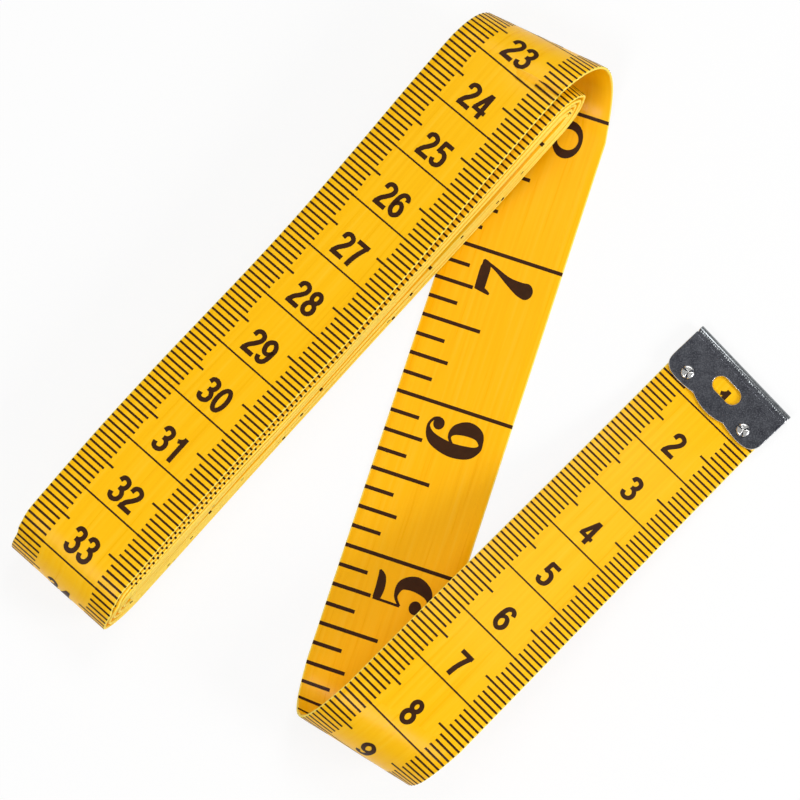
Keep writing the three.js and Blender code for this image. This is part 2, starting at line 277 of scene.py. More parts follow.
# Below the top layer, the run and height of a point come from its stretch: a straight layer
# with a little slack in the height, or the sine and cosine of the angle round a half turn.
# Towards the near end the stack is pinched: the layers close up under the top one and
# spread across.
def woundFlat(length, side):
    k = np.clip(np.searchsorted(stretchStarts, length, side="right") - 1, 0, 2 * turns)
    into = length - stretchStarts[k]
    layer = k // 2
    odd = layer % 2 == 1
    share = into / stretchLengths[k]
    slack = hank["slack"] * np.sin(math.pi * share)
    slack = slack * np.sin(hank["slackWave"] * share + hank["slackStep"] * layer)
    straightRun = np.where(odd, far - into, np.where(layer == 0, into, near + into))
    reach = turnReach[np.clip(layer, 0, turns - 1)]
    angle = math.pi * share
    below = heights[np.clip(layer + 1, 0, turns)]
    middle = (heights[layer] + below) / 2
    slant = hank["tipSlant"] * side * np.sin(angle)
    roundRun = np.where(odd, near - reach * np.sin(angle) - slant, far + reach * np.sin(angle))
    roundHeight = middle + (heights[layer] - middle) * np.cos(angle)
    straight = k % 2 == 0
    run = np.where(straight, straightRun, roundRun)
    pinch = smooth((pinching["run"] - run) / (pinching["run"] - near))
    height = np.where(straight, heights[layer] + slack * (1 - pinch), roundHeight)
    low = pinch * (topLayer - height)
    settle = settleAt(run, height)
    lift = settle + pinching["share"] * (low - pinch * settle)
    core = np.where(layer == turns, hank["coreShift"] * smooth(share), 0)
    shift = pinching["spread"] * low / topLayer - core
    return hankAt(run, side + wanderAt(length) + shift, height, lift)


# A half turn between two legs: round the fold's axis by the angle, with the radius at that
# side of the tape, and shifted along the axis in step with the angle. One side may flare out.
def turnAt(turn, angle, side):
    start, finish = turn["lower"](side), turn["upper"](side)
    radius = (finish - start)[..., 2] / 2
    shift = (finish - start) @ turn["axis"]
    flare = turn["flare"] * np.sin(angle) * ((edge - side) / tape["width"]) ** 2
    return (start + times(shift * angle / math.pi - flare, turn["axis"])
            + times(radius * np.sin(angle), turn["out"]) + times(radius * (1 - np.cos(angle)), up))


def turnPace(turn, side):
    start, finish = turn["lower"](side), turn["upper"](side)
    return np.hypot((finish - start)[..., 2] / 2, (finish - start) @ turn["axis"] / math.pi)


lowerTurn = {"axis": lowerAxis, "out": lowerOut, "flare": 0.0,
             "lower": lambda side: middleFlat(lowLine(side), side),
             "upper": lambda side: freeFlat(freeLine(side), side)}
upperTurn = {"axis": upperAxis, "out": upperOut, "flare": 0.75,
             "lower": lambda side: middleFlat(highLine(side), side),
             "upper": lambda side: topFlat(topLine(side), side)}


# Three routes over the folds, each a function of a length along the tape and a place across
# it. The angle that goes with a point tells how far round a fold it lies.
def freeAngle(reading, side):
    return math.pi - (reading - freeReading(freeLine(side))) / turnPace(lowerTurn, side)


def freeRoute(reading, side):
    angle = freeAngle(reading, side)
    fromTip = np.minimum(np.interp(reading, freeArc, freePlan), freeLine(side))
    bent = turnAt(lowerTurn, angle, side)
    return np.where((angle < math.pi)[..., None], bent, freeFlat(fromTip, side))


def middleAngles(run, side):
    lower = (lowLine(side) - run) / turnPace(lowerTurn, side)
    upper = (run - highLine(side)) / turnPace(upperTurn, side)
    return lower, upper


def middleRoute(run, side):
    lower, upper = middleAngles(run, side)
    flat = middleFlat(np.clip(run, lowLine(side), highLine(side)), side)
    bent = np.where((lower > 0)[..., None], turnAt(lowerTurn, lower, side), flat)
    return np.where((upper > 0)[..., None], turnAt(upperTurn, upper, side), bent)


def hankAngle(length, side):
    return math.pi - (topLine(side) - length) / turnPace(upperTurn, side)


def hankRoute(length, side):
    angle = hankAngle(length, side)
    wound = np.where((length < far)[..., None], topFlat(np.maximum(length, topLine(side)), side),
                     woundFlat(length, side))
    return np.where((angle < math.pi)[..., None], turnAt(upperTurn, angle, side), wound)


probe = 0.02


# The direction out of the centimetre face: cross product of the steps along and across
def faceOut(route, length, side):
    along = route(length + probe, side) - route(length - probe, side)
    across = route(length, side + probe) - route(length, side - probe)
    out = np.cross(along, across)
    return out / np.linalg.norm(out, axis=-1, keepdims=True)


print("tape laid out, hank", round(hankLength, 1), "mm, winding", round(windingLength, 1), "mm")


# Materials
def linear(code):
    parts = np.array([int(code[i:i + 2], 16) for i in (1, 3, 5)]) / 255
    values = np.where(parts <= 0.04045, parts / 12.92, ((parts + 0.055) / 1.055) ** 2.4)
    return (*values.tolist(), 1.0)


def startMaterial(name):
    material = bpy.data.materials.new(name)
    material.use_nodes = True
    return material, material.node_tree.nodes["Principled BSDF"]


# Adds a node, sets its properties and unlinked inputs, and links the rest
def addNode(material, kind, settings=(), inputs=()):
    node = material.node_tree.nodes.new(kind)
    for name, value in dict(settings).items():
        setattr(node, name, value)
    for name, value in dict(inputs).items():
        if isinstance(value, bpy.types.NodeSocket):
            material.node_tree.links.new(value, node.inputs[name])
        else:
            node.inputs[name].default_value = value
    return node


def feed(material, shader, **sockets):
    for name, value in sockets.items():
        material.node_tree.links.new(value, shader.inputs[name.replace("_", " ")])


bumpDepth = 0.00003


# Noise with patches of a size in millimetres
def addNoise(material, place, size, detail, roughness=0.5):
    return addNode(material, "ShaderNodeTexNoise", {}, {
        "Vector": place, "Scale": 1000 / size, "Detail": detail, "Roughness": roughness}).outputs["Fac"]


def addRange(material, value, before, after):
    return addNode(material, "ShaderNodeMapRange", {}, {
        "Value": value, "From Min": before[0], "From Max": before[1],
        "To Min": after[0], "To Max": after[1]}).outputs["Result"]


def addMath(material, operation, *values):
    return addNode(material, "ShaderNodeMath", {"operation": operation},
                   dict(enumerate(values))).outputs["Value"]


def addMix(material, share, low, high):
    return addNode(material, "ShaderNodeMix", {"data_type": "RGBA"}, {
        "Factor": share, 6: linear(low), 7: linear(high)}).outputs[2]


def addBump(material, height, strength):
    return addNode(material, "ShaderNodeBump", {}, {
        "Strength": strength, "Distance": bumpDepth, "Height": height}).outputs["Normal"]


# PVC coated on woven glass yarn: a semi-gloss skin. The yarns under it show as faint
# lengthwise streaks in the colour and in the sheen, and as a fine weave in the bump.
pvc = {"centimetre": "#FFC000", "inch": "#FFBB00", "deep": (0.96, 0.91, 1.0), "pale": (1.0, 1.06, 1.0),
       "milk": (0.0, 0.0, 0.012), "stops": (0.28, 0.5, 0.74), "streakWidth": 0.7, "streakLength": 30.0,
       "streakSpan": (0.3, 0.7), "cloudSize": 14.0, "clouding": 0.1, "roughness": 0.27,
       "smoother": 0.07, "rougher": 0.09, "yarn": 0.55, "yarnWarp": 0.6, "weave": 0.35, "bump": 0.22,
       "specular": 0.2}


def pvcTape(name, tint):
    material, shader = startMaterial(name)
    place = addNode(material, "ShaderNodeUVMap", {"uv_map": "tapeWay"}).outputs["UV"]
    # the map is in metres along and across the tape; streaks are long along it
    stretch = addNode(material, "ShaderNodeMapping", {}, {
        "Vector": place, "Scale": (1000 / pvc["streakLength"], 1000 / pvc["streakWidth"], 1)})
    streaks = addNoise(material, stretch.outputs["Vector"], 1000, 3.0, 0.55)
    clouds = addNoise(material, place, pvc["cloudSize"], 2.0)
    base = linear(tint)
    deep = [c * f for c, f in zip(base, pvc["deep"])] + [1.0]
    pale = [min(c * f + a, 1.0) for c, f, a in zip(base, pvc["pale"], pvc["milk"])] + [1.0]
    colours = addNode(material, "ShaderNodeValToRGB", {}, {"Fac": streaks})
    low, middle, high = pvc["stops"]
    stops = colours.color_ramp.elements
    stops[0].position, stops[0].color = low, deep
    stops[1].position, stops[1].color = high, pale
    stops.new(middle).color = base
    gloss = addRange(material, streaks, pvc["streakSpan"],
                     (pvc["roughness"] - pvc["smoother"], pvc["roughness"] + pvc["rougher"]))
    cloudGloss = addMath(material, "MULTIPLY_ADD", clouds, pvc["clouding"], gloss)
    weave = addNode(material, "ShaderNodeTexWave", {"bands_direction": "Y"}, {
        "Vector": place, "Scale": 1000 / pvc["yarn"] / (2 * math.pi), "Distortion": pvc["yarnWarp"]})
    relief = addMath(material, "MULTIPLY_ADD", weave.outputs["Fac"], pvc["weave"], streaks)
    feed(material, shader, Base_Color=colours.outputs["Color"], Roughness=cloudGloss,
         Normal=addBump(material, relief, pvc["bump"]))
    shader.inputs["Specular IOR Level"].default_value = pvc["specular"]
    return material


# The slit edge of the tape and the round at each face's rim: the coating is cut, so the pale
# glass yarn shows between two skins, and the colour is made paler still as a painted highlight
slit = {"colour": "#FFE868", "deep": "#FFD834", "grain": 0.5, "roughness": 0.6}


def slitEdge():
    material, shader = startMaterial("slitGlassTapeEdgePaintedHighlight")
    place = addNode(material, "ShaderNodeUVMap", {"uv_map": "tapeWay"}).outputs["UV"]
    grain = addNoise(material, place, slit["grain"], 2.0)
    feed(material, shader, Base_Color=addMix(material, grain, slit["deep"], slit["colour"]))
    shader.inputs["Roughness"].default_value = slit["roughness"]
    return material


# Screen-printed vinyl ink: nearly black brown, a little uneven, satin
ink = {"colour": "#2E1706", "worn": "#45270E", "patch": 0.9, "specular": 0.12, "roughness": 0.42}


def screenInk():
    material, shader = startMaterial("screenPrintedVinylInk")
    place = addNode(material, "ShaderNodeTexCoord").outputs["Object"]
    patches = addNoise(material, place, ink["patch"], 3.0)
    feed(material, shader, Base_Color=addMix(material, patches, ink["colour"], ink["worn"]))
    shader.inputs["Specular IOR Level"].default_value = ink["specular"]
    shader.inputs["Roughness"].default_value = ink["roughness"]
    return material


# Nickel-plated sheet steel, dulled: clouds of darker tarnish, fine pits and a rolled grain.
# Each finish has its tint, its tarnish and its roughness; the lighter fold finish is a painted
# highlight on the fold and the first crease.
nickel = {"plain": ("#66686E", "#3E3F46", 0.36), "bright": ("#FFFFFE", "#DADAD8", 0.2),
          "foldSheen": ("#A6AAAC", "#6C7073", 0.3), "cloud": 1.3, "cloudSpan": (0.3, 0.74), "clouding": 0.7,
          "pit": 0.22, "pitSpan": (0.46, 0.68), "pitting": 0.75, "grain": 0.3, "grainSpan": (0.3, 0.7),
          "smoother": 0.08, "rougher": 0.1, "bump": 0.3}


def nickelSteel(name, tint, tarnish, roughness):
    material, shader = startMaterial(name)
    place = addNode(material, "ShaderNodeTexCoord").outputs["Object"]
    clouds = addNoise(material, place, nickel["cloud"], 5.0, 0.6)
    grain = addNoise(material, place, nickel["grain"], 3.0, 0.7)
    pits = addNoise(material, place, nickel["pit"], 1.0)
    wear = addRange(material, clouds, nickel["cloudSpan"], (0.0, nickel["clouding"]))
    speckle = addRange(material, pits, nickel["pitSpan"], (0.0, nickel["pitting"]))
    most = addNode(material, "ShaderNodeMath", {"operation": "ADD", "use_clamp": True}, {
        0: wear, 1: speckle})
    gloss = addRange(material, grain, nickel["grainSpan"],
                     (roughness - nickel["smoother"], roughness + nickel["rougher"]))
    feed(material, shader, Base_Color=addMix(material, most.outputs["Value"], tarnish, tint),
         Roughness=gloss, Normal=addBump(material, grain, nickel["bump"]))
    shader.inputs["Metallic"].default_value = 1.0
    return material


centimetreSkin = pvcTape("pvcCoatedGlassTapeCentimetres", pvc["centimetre"])
inchSkin = pvcTape("pvcCoatedGlassTapeInches", pvc["inch"])
edgeAndHighlightSkin = slitEdge()
inkSkin = screenInk()
clipSkin = nickelSteel("nickelPlatedClip", *nickel["plain"])
rivetAndRimHighlightSkin = nickelSteel("brightNickelRivetAndRimHighlight", *nickel["bright"])
foldHighlightSkin = nickelSteel("nickelFoldPaintedHighlight", *nickel["foldSheen"])
print("materials made")

sharpAngle = math.radians(40)


def meshObject(name, points, faces, materials, faceMaterials=None, places=None):
    mesh = bpy.data.meshes.new(name)
    mesh.from_pydata((points / 1000).tolist(), [], faces)
    for material in materials:
        mesh.materials.append(material)
    if faceMaterials is not None:
        mesh.polygons.foreach_set("material_index", np.asarray(faceMaterials, np.int32))
    if places is not None:
        corner = np.empty(len(mesh.loops), np.int32)
        mesh.loops.foreach_get("vertex_index", corner)
        layer = mesh.uv_layers.new(name="tapeWay")
        layer.data.foreach_set("uv", (places[corner] / 1000).astype(np.float32).ravel())
    mesh.polygons.foreach_set("use_smooth", np.ones(len(mesh.polygons), bool))
    mesh.set_sharp_from_angle(angle=sharpAngle)
    mesh.update()
    obj = bpy.data.objects.new(name, mesh)
    scene.collection.objects.link(obj)
    return obj


# The tape's outline across, once round: flat faces with a small round at each slit edge, and
# the skin of each step, 0 for centimetres, 1 for inches and 2 for the slit edge and its rounds,
# whose paler colour is partly a painted highlight
def tapeOutline():
    inner = edge - tape["edgeRound"]
    faceRow = np.linspace(-inner, inner, tape["ringCuts"])
    slope = edge - np.array([tape["edgeDrop"], 0.0, tape["edgeDrop"]])
    lift = np.array([tape["edgeLift"], 0.0, -tape["edgeLift"]]) * half
    side = np.concatenate([faceRow, slope, faceRow[::-1], -slope])
    offset = np.concatenate([np.full(faceRow.size, half), lift, np.full(faceRow.size, -half), -lift])
    flat, rim = faceRow.size - 1, slope.size + 1
    return side, offset, np.repeat([0, 2, 1, 2], [flat, rim, flat, rim])


# Faces of closed rings joined into a tube, with a cap at each end
def tubeFaces(rows, count):
    i, j = np.meshgrid(np.arange(rows - 1), np.arange(count), indexing="ij")
    turn = (j + 1) % count
    quads = np.stack([i * count + j, (i + 1) * count + j, (i + 1) * count + turn, i * count + turn], -1)
    cap = np.arange(count)
    return quads.reshape(-1, 4).tolist() + [cap.tolist(), (cap[::-1] + (rows - 1) * count).tolist()]


# A closed strip of tape: the outline carried along a route. Each edge of the outline runs
# from its own begin to its own end, because the tape crosses the folds at a slant.
def tapeStrip(name, route, begin, end, shares):
    side, offset, kind = tapeOutline()
    start, finish = begin(side), end(side)
    length = start + (finish - start) * shares[:, None]
    across = np.broadcast_to(side, length.shape)
    points = route(length, across) + faceOut(route, length, across) * offset[:, None]
    kinds = np.concatenate([np.tile(kind, len(shares) - 1), [2, 2]])
    places = np.stack([length.ravel(), across.ravel()], -1)
    skins = [centimetreSkin, inchSkin, edgeAndHighlightSkin]
    return meshObject(name, points.reshape(-1, 3), tubeFaces(*length.shape), skins, kinds, places)


def evenShares(span, step):
    return np.linspace(0, 1, max(int(math.ceil(span / step)), 1) + 1)


stripStep = {"middle": 3.0, "free": 1.5, "layer": 2.5, "turn": 0.6, "turnLeast": 6}
foldArcs = {"step": 2.5, "count": 3}


# The winding's stops: finer round the half turns than along the layers
def windingStops():
    turnCuts = stretchLengths / stripStep["turn"] + stripStep["turnLeast"]
    straight = np.arange(2 * turns + 1) % 2 == 0
    counts = np.ceil(np.where(straight, stretchLengths / stripStep["layer"], turnCuts)).astype(int)
    stops = [start + length * np.arange(count) / count
             for start, length, count in zip(stretchStarts, stretchLengths, counts)]
    return np.concatenate(stops + [[windingLength - endGap]])


def addTape(name, route, begin, end, shares, nodes=()):
    strip = tapeStrip(name, route, begin, end, shares)
    if nodes:
        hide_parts(*nodes)
    return strip


def turnLimits(k):
    return math.pi * k / foldArcs["count"], math.pi * (k + 1) / foldArcs["count"]


arcShares = evenShares(180 / foldArcs["count"], foldArcs["step"])
middleStrip = addTape("middleLegTape", middleRoute, lowLine, highLine,
                      evenShares(highRun - lowRun, stripStep["middle"]), ["middle_leg"])
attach(middleStrip, "middle")
freeStrip = addTape("freeLegTape", freeRoute, lambda side: endGap - side * endSlant,
                    lambda side: freeReading(freeLine(side)),
                    evenShares(freeLength, stripStep["free"]), ["free_leg"])
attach(freeStrip, "free_end")


# The top layer starts at its slanting fold line and loses the slant by its far end
def hankStrip():
    stops = windingStops()

    def slanted(length, side):
        start = topLine(side)
        onTop = start + (far - start) * length / far
        return hankRoute(np.where(length < far, onTop, length), side)

    return addTape("hankTape", slanted, np.zeros_like, lambda side: np.full(side.shape, stops[-1]),
                   stops / stops[-1], ["hank_winding"])


hankTape = hankStrip()
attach(hankTape, "hank")


# A third of a fold: the line across the middle of the third and the step square to it are
# worked out but not used, and the piece is only baked into place
def blendThird(piece, turn, k):
    low, high = turnLimits(k)
    ends = [turnAt(turn, np.array(a), np.array(0.0)) for a in (low, high)]
    sides = [turnAt(turn, np.array((low + high) / 2), np.array(s)) for s in (-edge, edge)]
    line = (sides[1] - sides[0]) / np.linalg.norm(sides[1] - sides[0])
    step = ends[1] - ends[0]
    step = step - line * (step @ line)
    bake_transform(piece)


def angleStop(turn, line, sign, angle):
    return lambda side: line(side) + sign * turnPace(turn, side) * angle


# Each fold: its pieces' and nodes' names, its turn, where it starts on the middle leg, which way
# it goes on from there, and the bodies along it
folds = [("lowerFold", "lower_fold", lowerTurn, lowLine, -1,
          ["middle", "lower_link_1", "lower_link_2", "free_end"]),
         ("upperBend", "upper_bend", upperTurn, highLine, 1,
          ["middle", "upper_link_1", "upper_link_2", "hank"])]
for word, node, turn, line, sign, bodies in folds:
    for k in range(foldArcs["count"]):
        begin, end = (angleStop(turn, line, sign, angle) for angle in turnLimits(k)[::sign])
        nodes = [f"{node}_{k + 1}"] if k < foldArcs["count"] - 1 else []
        strip = addTape(f"{word}Tape{k + 1}", middleRoute, begin, end, arcShares, nodes)
        blendThird(strip, turn, k)
print("tape made")

# Numerals, drawn as brush strokes: each stroke is a row of points with half its width, in
# millimetres, x to the right and y up from the base line
plainNumerals = {
    "0": [("ring", 1.2, 2.22, 0.8, 1.83, 0.39, 0.39)],
    "1": [((1.42, 0.0, 0.4), (1.42, 4.45, 0.4)), ((0.5, 3.3, 0.36), (1.05, 3.62, 0.36), (1.42, 4.1, 0.36))],
    "2": [((0.42, 3.02, 0.39), (0.58, 3.76, 0.39), (1.2, 4.06, 0.39), (1.86, 3.7, 0.39), (1.9, 2.95, 0.4),
           (1.42, 2.12, 0.4), (0.78, 1.32, 0.4), (0.46, 0.5, 0.4)), ((0.08, 0.4, 0.4), (2.3, 0.4, 0.4))],
    "3": [((0.44, 3.3, 0.39), (0.66, 3.9, 0.39), (1.2, 4.06, 0.39), (1.8, 3.72, 0.39), (1.84, 2.95, 0.39),
           (1.45, 2.46, 0.39), (0.95, 2.36, 0.37)),
          ((0.95, 2.36, 0.37), (1.6, 2.22, 0.39), (2.0, 1.55, 0.39), (1.84, 0.76, 0.39), (1.2, 0.39, 0.39),
           (0.6, 0.58, 0.39), (0.4, 1.2, 0.39))],
    "4": [((1.55, 4.3, 0.36), (0.38, 1.35, 0.36)), ((0.06, 1.22, 0.36), (2.42, 1.22, 0.36)),
          ((1.66, 0.0, 0.39), (1.66, 4.45, 0.39))],
    "5": [((0.5, 4.06, 0.39), (2.2, 4.06, 0.39)), ((0.72, 4.2, 0.37), (0.55, 2.32, 0.37)),
          ((0.52, 2.42, 0.3), (1.15, 2.72, 0.38), (1.78, 2.4, 0.4), (2.0, 1.6, 0.4), (1.8, 0.75, 0.39),
           (1.18, 0.39, 0.39), (0.62, 0.56, 0.39), (0.4, 1.18, 0.39))],
    "6": [((1.98, 3.3, 0.38), (1.78, 3.86, 0.39), (1.24, 4.06, 0.39), (0.66, 3.55, 0.4), (0.42, 2.25, 0.4),
           (0.5, 1.02, 0.4), (1.2, 0.39, 0.39), (1.86, 0.86, 0.4), (1.98, 1.6, 0.4), (1.66, 2.36, 0.39),
           (1.12, 2.52, 0.36), (0.62, 2.1, 0.33), (0.46, 1.6, 0.3))],
    "7": [((0.1, 4.06, 0.39), (2.3, 4.06, 0.39)), ((1.96, 4.1, 0.38), (1.5, 2.9, 0.4), (1.12, 1.5, 0.41),
                                                  (0.95, 0.0, 0.42))],
    "8": [("ring", 1.2, 3.24, 0.66, 0.82, 0.39, 0.38), ("ring", 1.2, 1.34, 0.8, 0.95, 0.4, 0.38)],
}
fatNumerals = {
    "0": [("ring", 2.8, 4.6, 1.75, 4.3, 1.0, 0.28)],
    "1": [((2.9, 0.1, 1.0), (2.9, 9.1, 1.0)), ((1.0, 7.7, 0.2), (1.7, 8.0, 0.3), (2.5, 8.8, 0.42)),
          ((0.9, 0.22, 0.22), (4.9, 0.22, 0.22))],
    "2": [("ball", 1.4, 6.75, 0.98), ((0.55, 6.9, 0.16), (1.0, 8.3, 0.24), (2.5, 8.98, 0.28),
                                     (4.1, 8.1, 0.85), (4.35, 6.5, 1.0), (3.2, 4.6, 0.7),
                                     (1.6, 2.6, 0.32), (0.62, 1.0, 0.2)),
          ((0.7, 0.75, 0.42), (1.9, 1.35, 0.6), (3.3, 0.72, 0.72), (4.6, 0.72, 0.66), (5.2, 1.7, 0.26),
           (5.35, 2.5, 0.14))],
    "3": [("ball", 1.4, 7.2, 0.92), ((0.6, 7.4, 0.18), (1.3, 8.7, 0.26), (2.7, 8.96, 0.3), (4.1, 7.9, 0.86),
                                    (4.1, 6.2, 0.86), (3.0, 4.95, 0.34), (2.0, 4.8, 0.2)),
          ((2.0, 4.8, 0.2), (3.6, 4.5, 0.45), (4.7, 2.9, 1.0), (4.2, 1.0, 0.8), (2.8, 0.28, 0.3),
           (1.3, 0.6, 0.24), (0.6, 1.8, 0.18)), ("ball", 1.42, 2.1, 0.96)],
    "4": [((3.7, 0.1, 0.95), (3.7, 9.1, 0.95)), ((3.4, 9.0, 0.24), (0.5, 2.9, 0.3)),
          ((0.2, 2.66, 0.32), (5.6, 2.66, 0.32)), ((2.1, 0.22, 0.22), (5.4, 0.22, 0.22))],
    "5": [((1.15, 8.3, 0.62), (2.6, 8.2, 0.72), (4.1, 8.45, 0.62), (5.0, 9.05, 0.16)),
          ((1.05, 8.85, 0.18), (1.0, 4.5, 0.18)),
          ((1.0, 4.5, 0.18), (2.2, 5.5, 0.28), (3.9, 5.1, 0.72), (4.55, 3.1, 1.05), (3.9, 1.1, 0.82),
           (2.6, 0.28, 0.3), (1.2, 0.6, 0.24), (0.6, 1.8, 0.18)), ("ball", 1.42, 2.1, 0.96)],
    "6": [("ball", 4.15, 7.55, 0.88), ((4.95, 7.6, 0.16), (4.6, 8.5, 0.2), (3.4, 9.0, 0.26),
                                      (1.9, 7.8, 0.78), (1.15, 4.8, 0.98), (1.4, 2.0, 0.9),
                                      (2.2, 0.6, 0.5), (3.0, 0.3, 0.3), (3.6, 0.55, 0.4)),
          ((2.2, 0.45, 0.3), (2.9, 0.28, 0.28), (4.2, 1.1, 0.78), (4.6, 2.9, 1.0), (4.0, 4.7, 0.74),
           (2.9, 5.35, 0.28), (1.9, 4.6, 0.2), (1.5, 3.6, 0.16))],
    "7": [((1.2, 8.2, 0.78), (3.0, 8.25, 0.82), (4.7, 8.35, 0.76), (5.45, 8.9, 0.16)),
          ((1.3, 8.95, 0.16), (1.25, 7.5, 0.34), (0.92, 6.5, 0.16)),
          ((5.4, 8.85, 0.2), (4.65, 6.7, 0.26), (3.62, 4.4, 0.52), (3.0, 2.3, 0.98), (2.88, 1.25, 1.16)),
          ("ball", 2.88, 1.2, 1.18)],
    "8": [("ring", 2.8, 6.85, 1.65, 1.98, 0.6, 0.3), ("ring", 2.8, 2.35, 2.15, 2.02, 0.64, 0.32)],
}
numeralSize = {"plain": (2.4, 4.45), "fat": (6.3, 9.2)}
fatStretch = 1.125
strokeCuts = {"plain": np.linspace(-0.93, 0.93, 4), "fat": np.linspace(-1, 1, 4)}
inkHeight = 0.025
inkStep = 0.004
brush = {"span": 6, "least": 8, "ring": 33, "ball": 13, "trim": 0.12}


# A stroke: a smooth curve through its points, widened to both sides of its direction
def stroke(points, cuts):
    rows = np.array(points, float)
    count = len(rows)
    steps = max(brush["span"] * (count - 1), brush["least"]) + 1
    t = np.linspace(0, count - 1, steps)
    i = np.minimum(t.astype(int), count - 2)
    u = (t - i)[:, None]
    before, start, end, after = (rows[np.clip(i + d, 0, count - 1)] for d in (-1, 0, 1, 2))
    curve = 0.5 * (2 * start + (end - before) * u + (2 * before - 5 * start + 4 * end - after) * u ** 2
                   + (3 * start - before - 3 * end + after) * u ** 3)
    step = np.gradient(curve[:, :2], axis=0)
    left = np.stack([-step[:, 1], step[:, 0]], -1) / np.linalg.norm(step, axis=1)[:, None]
    return curve[:, None, :2] + left[:, None, :] * (curve[:, 2, None] * cuts)[..., None]


# A ring: an ellipse whose stroke is thickest at its sides
def ring(x, y, wide, high, sideHalf, endHalf, cuts):
    a = np.linspace(0, 2 * math.pi, brush["ring"])
    thick = endHalf + (sideHalf - endHalf) * np.cos(a) ** 2
    middle = np.stack([x + wide * np.cos(a), y + high * np.sin(a)], -1)
    out = np.stack([np.cos(a) * high, np.sin(a) * wide], -1)
    out = out / np.linalg.norm(out, axis=1)[:, None]
    return middle[:, None, :] - out[:, None, :] * (thick[:, None] * cuts)[..., None]


# A ball: a disc cut in slices
def ball(x, y, radius, cuts):
    a = np.linspace(brush["trim"], math.pi - brush["trim"], brush["ball"])
    middle = np.stack([x - radius * np.cos(a), np.full(a.shape, y)], -1)
    return middle[:, None, :] + (radius * np.sin(a)[:, None] * cuts)[..., None] * np.array([0.0, 1.0])


def gridFaces(rows, columns):
    i, j = np.meshgrid(np.arange(rows - 1), np.arange(columns - 1), indexing="ij")
    first = i * columns + j
    return np.stack([first, first + columns, first + columns + 1, first + 1], -1).reshape(-1, 4)


def joined(shapes):
    counts = np.cumsum([0] + [len(points) for points, quads in shapes])
    return (np.concatenate([points for points, quads in shapes]),
            np.concatenate([quads + c for (points, quads), c in zip(shapes, counts)]))


# One numeral as points and faces; each stroke lies a hair above the one before it, and a
# nine is a six turned half round
def numeral(style, digit):
    drawings = plainNumerals if style == "plain" else fatNumerals
    shapes = []
    for level, item in enumerate(drawings["6" if digit == "9" else digit]):
        drawn = {"ring": ring, "ball": ball}.get(item[0])
        grid = drawn(*item[1:], strokeCuts[style]) if drawn else stroke(item, strokeCuts[style])
        flat = grid.reshape(-1, 2) * (1 if style == "plain" else np.array([fatStretch, 1]))
        flat = np.array(numeralSize[style]) - flat if digit == "9" else flat
        raised = np.column_stack([flat, np.full(len(flat), (level + 1) * inkStep)])
        shapes.append((raised, gridFaces(*grid.shape[:2])))
    return joined(shapes)


numerals = {(style, d): numeral(style, d) for style in numeralSize for d in "0123456789"}


def numberShape(style, value, gap):
    pace = numeralSize[style][0] + gap
    shapes = []
    for place, digit in enumerate(str(value)):
        points, quads = numerals[style, digit]
        shapes.append((points + np.array([place * pace, 0.0, 0.0]), quads))
    return *joined(shapes), len(shapes) * pace - gap


# Bars with their length cut in pieces, so that they follow a bend
def bars(x0, x1, y0, y1, cuts, level=0.0):
    x0, x1, y0, y1 = np.broadcast_arrays(*(np.asarray(v, float) for v in (x0, x1, y0, y1)))
    share = np.linspace(0, 1, cuts + 1)
    x = x0[:, None] + (x1 - x0)[:, None] * share
    low = np.stack([x, np.broadcast_to(y0[:, None], x.shape)], -1)
    high = np.stack([x, np.broadcast_to(y1[:, None], x.shape)], -1)
    points = np.stack([low, high], 2).reshape(-1, 2)
    points = np.column_stack([points, np.full(len(points), level)])
    first = (np.arange(x.shape[0])[:, None] * (cuts + 1) + np.arange(cuts)).ravel() * 2
    return points, np.stack([first, first + 2, first + 3, first + 1], -1)


cmPrint = {"tick": 0.34, "line": 0.27, "left": 4.6, "right": 4.0, "leftHalf": 5.75, "rightHalf": 5.3,
           "base": 1.12, "gap": 0.1, "aside": 0.26, "margin": 0.1, "rough": 0.1,
           "roughWaves": (12.99, 4.1), "tickCuts": 3, "lineCuts": 10}
inchPrint = {"tick": 0.6, "eighth": 4.7, "quarter": 6.25, "halfInch": 9.5, "before": 1.35, "base": 5.95,
             "gap": 0.35, "margin": 0.05, "cuts": 10}
inch = 25.4


# Centimetre scale: x across the tape and y towards the zero end, so y is minus the length.
# The inner ends of the ticks are a little uneven.
def centimetreShapes(low, high):
    mm = np.arange(max(math.ceil(low), 1), math.floor(high) + 1)
    fast, slow = cmPrint["roughWaves"]
    rough = cmPrint["rough"] * np.sin(mm * fast) * np.sin(mm * slow)
    whole = mm % 10 == 0
    fives = (mm % 5 == 0) & ~whole
    limit = edge - cmPrint["margin"]
    halfTick, halfLine = cmPrint["tick"] / 2, cmPrint["line"] / 2
    left = np.where(fives, cmPrint["leftHalf"], cmPrint["left"]) + rough
    right = np.where(fives, cmPrint["rightHalf"], cmPrint["right"]) - rough
    shapes = [bars(-limit, left - edge, -mm - halfTick, -mm + halfTick, cmPrint["tickCuts"]),
              bars(edge - right, limit, -mm - halfTick, -mm + halfTick, cmPrint["tickCuts"])]
    cm = mm[whole]
    shapes.append(bars(-limit, limit, -cm - halfLine, -cm + halfLine, cmPrint["lineCuts"], inkStep))
    for value in (cm // 10).tolist():
        points, quads, total = numberShape("plain", value, cmPrint["gap"])
        shift = np.array([cmPrint["aside"] - total / 2, cmPrint["base"] - 10 * value, 0.0])
        shapes.append((points + shift, quads))
    points, quads = joined(shapes)
    return np.stack([-points[:, 1], points[:, 0], points[:, 2]], -1), quads


